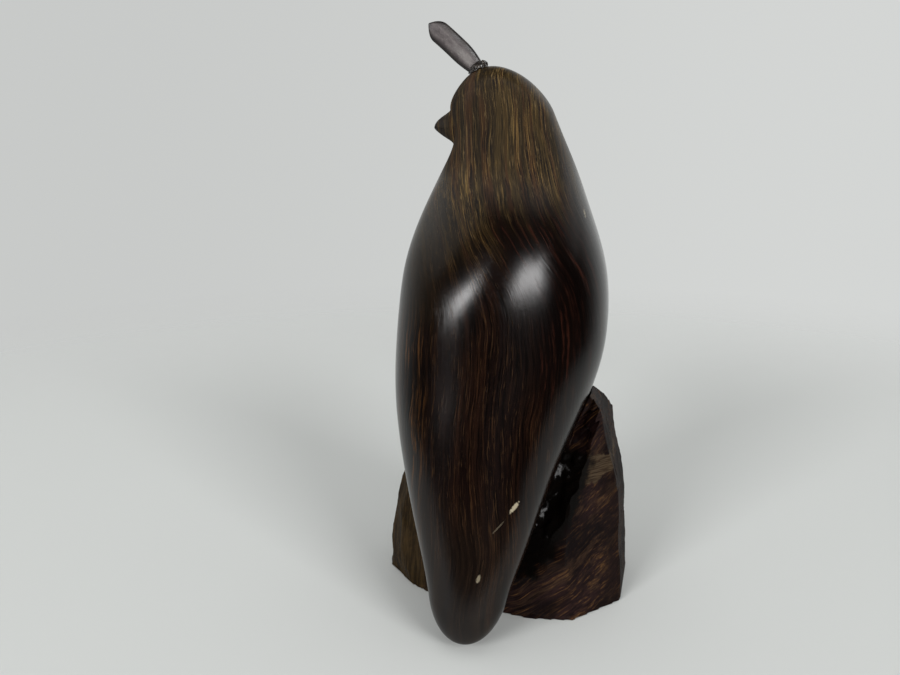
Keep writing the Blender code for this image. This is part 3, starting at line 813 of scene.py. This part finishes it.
def topknot_form(name, grow=0.0):
    """A flat leaf with rounded edges, whose tenon runs down into the crown."""
    line = topknot_line(TOPKNOT_STEPS)
    x, z, across_x, across_z = line[0]
    rings = []
    tenon = (
        (TENON_LONG + grow, TENON_TAPER_SHARE),
        (TENON_LONG + grow - TENON_TAPER_LONG, 1.0),
        (TENON_SHOULDER + grow, 1.0),
    )
    for depth, share in tenon:
        place = (x + across_z * depth, z - across_x * depth, across_x, across_z)
        rings.append(leaf_ring(place, TENON_WIDE / 2 * share, TENON_THICK / 2 * share, grow))
    foot = tuple(np.mean(rings[0], axis=0))
    for i, place in enumerate(line[:-1]):
        half = topknot_width(i / TOPKNOT_STEPS) / 2
        full = 2 * half / TOPKNOT_FULL_WIDE
        thick = TOPKNOT_THICK / 2 * (TOPKNOT_EDGE_SHARE + (1 - TOPKNOT_EDGE_SHARE) * full)
        rings.append(leaf_ring(place, half, thick, grow))
    top = (line[-1][0], TOPKNOT_ROOT[1], line[-1][1])
    return loft(name, rings, (foot, top))


def make_topknot():
    topknot = topknot_form("plume")
    rings = TOPKNOT_STEPS + TENON_RINGS
    rim = np.zeros(len(topknot.data.vertices))
    for i in range(rings):
        share = max(0.0, (i - TENON_RINGS) / TOPKNOT_STEPS)
        narrow = topknot_width(share) / TOPKNOT_FULL_WIDE
        for j in range(TOPKNOT_SIDES):
            side = abs(math.cos(2 * math.pi * j / TOPKNOT_SIDES)) ** LEAF_SIDE_POWER
            rim[i * TOPKNOT_SIDES + j] = max(side, 1 - narrow * RIM_NARROWING)
    rim[-2:] = 1.0
    attribute = topknot.data.attributes.new("rim", "FLOAT", "POINT")
    attribute.data.foreach_set("value", rim.astype(np.float32))
    fit_to_node(topknot, "topknot")
    topknot.data.set_sharp_from_angle(angle=math.radians(SHARP_ANGLE))
    return topknot


def make_glue(cutters):
    """The collar of glue, puddled in beads."""
    lean = math.radians(TOPKNOT_LEAN)
    middle = Vector(TOPKNOT_ROOT) + Vector((math.sin(lean), 0, math.cos(lean))) * GLUE_RISE
    glue = stretched_ball("glue_beads", middle, GLUE_RADII)
    glue.rotation_euler = (0, lean, 0)
    for vertex in glue.data.vertices:
        at = vertex.co / (GLUE_BEAD * MM)
        lump = noise.fractal(at, 0.6, 2.0, 2)
        vertex.co *= 1 - GLUE_BEAD_DEEP * (0.5 + max(-0.5, min(0.5, lump)))
    cut_with(glue, cutters)
    glue.data.shade_smooth()
    glue.data.set_sharp_from_angle(angle=math.radians(SHARP_ANGLE))
    return glue


def slice_off(mesh, point, normal):
    geometry = mesh.verts[:] + mesh.edges[:] + mesh.faces[:]
    done = bmesh.ops.bisect_plane(
        mesh, geom=geometry, plane_co=point, plane_no=normal, clear_outer=True, dist=CUT_TOLERANCE
    )
    rim = [e for e in done["geom_cut"] if isinstance(e, bmesh.types.BMEdge)]
    if rim:
        bmesh.ops.contextual_create(mesh, geom=rim)


def make_block(cutters):
    mesh = bmesh.new()
    bmesh.ops.create_cube(mesh, size=BLANK * MM, matrix=Matrix.Translation((0, 0, BLANK / 2 * MM)))
    for bearing, lean, reach in HEWN_SIDES:
        b, t = math.radians(bearing), math.radians(lean)
        normal = Vector((math.cos(b) * math.cos(t), math.sin(b) * math.cos(t), math.sin(t)))
        slice_off(mesh, Vector((math.cos(b), math.sin(b), 0)) * reach * MM, normal)
    for point, (slope_x, slope_y) in HEWN_TOPS:
        slice_off(mesh, Vector(point) * MM, Vector((-slope_x, -slope_y, 1)).normalized())
    draw = random.Random(CHIP_SEED)
    for _ in range(CHIPS):
        bearing = math.radians(draw.uniform(*CHIP_BEARINGS))
        normal = Vector((math.cos(bearing), math.sin(bearing), draw.uniform(*CHIP_RISE))).normalized()
        reach = max(v.co.dot(normal) for v in mesh.verts)
        slice_off(mesh, normal * (reach - draw.uniform(*CHIP_DEPTH) * MM), normal)
    block = finish_object("hewn_block", mesh)
    remesh = block.modifiers.new("fine", "REMESH")
    remesh.mode = "VOXEL"
    remesh.voxel_size = BLOCK_VOXEL * MM
    apply_modifiers(block)
    chisel(block)
    fit_to_node(block, "base_block")
    cut_with(block, cutters)
    block.data.shade_smooth()
    block.data.set_sharp_from_angle(angle=math.radians(BLOCK_SHARP_ANGLE))
    return block


def chisel(block):
    """Sinks shallow strokes into the block's faces. Where two strokes meet, a crisp ridge is left."""
    data = block.data
    co, normals = points_and_normals(data)
    co /= MM
    count = len(co)
    draw = np.random.default_rng(SCOOP_SEED)
    seeds = draw.choice(count, SCOOPS, replace=False)
    rise = np.full(count, np.inf)
    for k in seeds:
        away = co - co[k]
        slant = draw.uniform(*SCOOP_SLANT)
        side = np.cross(normals[k], (0, 0, 1.0))
        side /= max(np.linalg.norm(side), LEAST_LENGTH)
        stroke = math.cos(slant) * side + math.sin(slant) * np.array((0, 0, 1.0))
        along = away @ stroke
        square = (away**2).sum(1) - along**2 * (1 - 1 / SCOOP_LONG**2)
        facing = 1 - np.clip(normals @ normals[k], 0, 1)
        lift = draw.uniform(0, SCOOP_LIFT)
        rise = np.minimum(rise, SCOOP_DEEP * square + facing * SCOOP_TURN + lift)
    sink = np.clip(SCOOP_MOST - rise, 0, SCOOP_MOST)
    foot, clear = SCOOP_FOOT
    sink *= np.clip((co[:, 2] - foot) / (clear - foot), 0, 1) * np.clip(1 + normals[:, 2] * 2, 0, 1)
    co -= normals * sink[:, None]
    data.vertices.foreach_set("co", (co * MM).ravel())
    data.update()


# ================================================================ camera, floor and light
def make_camera():
    data = bpy.data.cameras.new("camera")
    data.lens = CAMERA_LENS
    data.clip_start = 0.01
    data.clip_end = 100.0
    camera = bpy.data.objects.new("camera", data)
    bpy.context.scene.collection.objects.link(camera)
    camera.location = CAMERA_PLACE
    pitch = math.radians(CAMERA_PITCH)
    sight = Vector((*CAMERA_HEADING, 0)).normalized() * math.cos(pitch) + Vector((0, 0, -math.sin(pitch)))
    camera.rotation_euler = sight.to_track_quat("-Z", "Y").to_euler()
    bpy.context.scene.camera = camera


def make_floor():
    mesh = bmesh.new()
    bmesh.ops.create_grid(mesh, x_segments=1, y_segments=1, size=FLOOR_HALF)
    floor = finish_object("floor", mesh)
    floor.location.z = CAD_BOX[0][2] - FLOOR_BELOW
    floor.data.materials.append(floor_paint())


def softbox(name, azimuth, elevation, distance, sides, roll, power):
    """A rectangular area light turned to the object."""
    data = bpy.data.lights.new(name, "AREA")
    data.shape = "RECTANGLE"
    data.size, data.size_y = sides
    data.energy = power
    light = bpy.data.objects.new(name, data)
    bpy.context.scene.collection.objects.link(light)
    a, e = math.radians(azimuth), math.radians(elevation)
    away = Vector((-math.sin(a) * math.cos(e), math.cos(a) * math.cos(e), math.sin(e)))
    light.location = Vector(AIM) + away * distance
    level = Vector((0, 0, 1)).cross(away).normalized() if away.z < LEVEL_MOST else Vector((1, 0, 0))
    upward = away.cross(level)
    turn = math.radians(roll)
    long_way = level * math.cos(turn) + upward * math.sin(turn)
    light.rotation_euler = Matrix((long_way, away.cross(long_way), away)).transposed().to_euler()
    if name.startswith("panel"):
        light.visible_diffuse = False
    else:
        light.visible_glossy = False


def make_room():
    """A plain pale room, which the object mirrors bright beside itself and dark towards the camera."""
    world = bpy.data.worlds.new("room")
    bpy.context.scene.world = world
    world.use_nodes = True
    tree = world.node_tree
    tree.nodes.clear()

    def put(socket, value):
        if isinstance(value, bpy.types.NodeSocket):
            tree.links.new(value, socket)
        else:
            socket.default_value = value

    def ramp(value, span, low, high):
        node = tree.nodes.new("ShaderNodeMapRange")
        node.interpolation_type = "SMOOTHSTEP"
        for key, number in zip(RANGE_SOCKETS, (value, *span, low, high)):
            put(node.inputs[key], number)
        return node.outputs[0]

    def choose(factor, a, b):
        node = tree.nodes.new("ShaderNodeMix")
        node.data_type = "FLOAT"
        for socket, value in zip((node.inputs[0], node.inputs[2], node.inputs[3]), (factor, a, b)):
            put(socket, value)
        return node.outputs[0]

    background = tree.nodes.new("ShaderNodeBackground")
    output = tree.nodes.new("ShaderNodeOutputWorld")
    tree.links.new(background.outputs[0], output.inputs[0])
    place = tree.nodes.new("ShaderNodeTexCoord").outputs["Generated"]
    split = tree.nodes.new("ShaderNodeSeparateXYZ")
    tree.links.new(place, split.inputs[0])
    across = split.outputs["X"]
    facing = tree.nodes.new("ShaderNodeVectorMath")
    facing.operation = "DOT_PRODUCT"
    put(facing.inputs[0], place)
    put(facing.inputs[1], (-CAMERA_HEADING[0], -CAMERA_HEADING[1], 0.0))
    level = ramp(across, ROOM_MIRRORED_SPAN, *ROOM_MIRRORED)
    level = choose(ramp(facing.outputs["Value"], ROOM_NEAR_SPAN, 0.0, 1.0), level, ROOM_NEAR)
    mirrored = choose(ramp(split.outputs["Z"], ROOM_ABOVE_SPAN, 0.0, 1.0), level, ROOM_ABOVE)
    path = tree.nodes.new("ShaderNodeLightPath")
    strength = choose(path.outputs["Is Diffuse Ray"], mirrored, ROOM_SHED)
    seen = ramp(across, ROOM_SEEN_SPAN, *ROOM_SEEN)
    strength = choose(path.outputs["Is Camera Ray"], strength, seen)
    put(background.inputs["Strength"], strength)
    background.inputs["Color"].default_value = (*ROOM_TINT, 1)


def make_light():
    for light in LIGHTS:
        softbox(*light)
    make_room()
    bpy.context.scene.view_settings.view_transform = "Standard"


# ================================================================ putting it together
def place_piece(obj, node, material):
    obj.data.materials.clear()
    obj.data.materials.append(material)
    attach(obj, "root")
    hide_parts(node)


def main():
    make_camera()
    make_floor()
    make_light()

    sockets = [socket_cutter(*dowel) for dowel in DOWELS]
    bird_room = loft("bird_room", *bird_rings(CUTTER_RINGS, CUTTER_SIDES, SEAT_GAP))
    topknot_room = topknot_form("topknot_room", GAP)
    gouge = stretched_ball("gouge", GOUGE_MIDDLE, GOUGE_RADII)
    for vertex in gouge.data.vertices:
        vertex.co *= 1 + GOUGE_RAGGED * noise.fractal(vertex.co / (GOUGE_WAVE * MM), 0.7, 2.0, 2)
    gouge.rotation_euler = Vector(GOUGE_TOWARDS).to_track_quat("Z", "Y").to_euler()

    place_piece(make_body((*sockets, topknot_room)), "quail_body", polished_ironwood())
    place_piece(make_topknot(), "topknot", topknot_wood())
    place_piece(make_glue((topknot_room, bird_room)), "topknot_glue", set_glue())
    place_piece(make_block((bird_room, gouge, *sockets)), "base_block", hewn_ironwood())
    for cutter in (*sockets, bird_room, topknot_room, gouge):
        bpy.data.objects.remove(cutter, do_unlink=True)

    dowel = dowel_wood()
    for name, *_ in DOWELS:
        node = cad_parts[name]
        node.data.materials.clear()
        node.data.materials.append(dowel)


main()
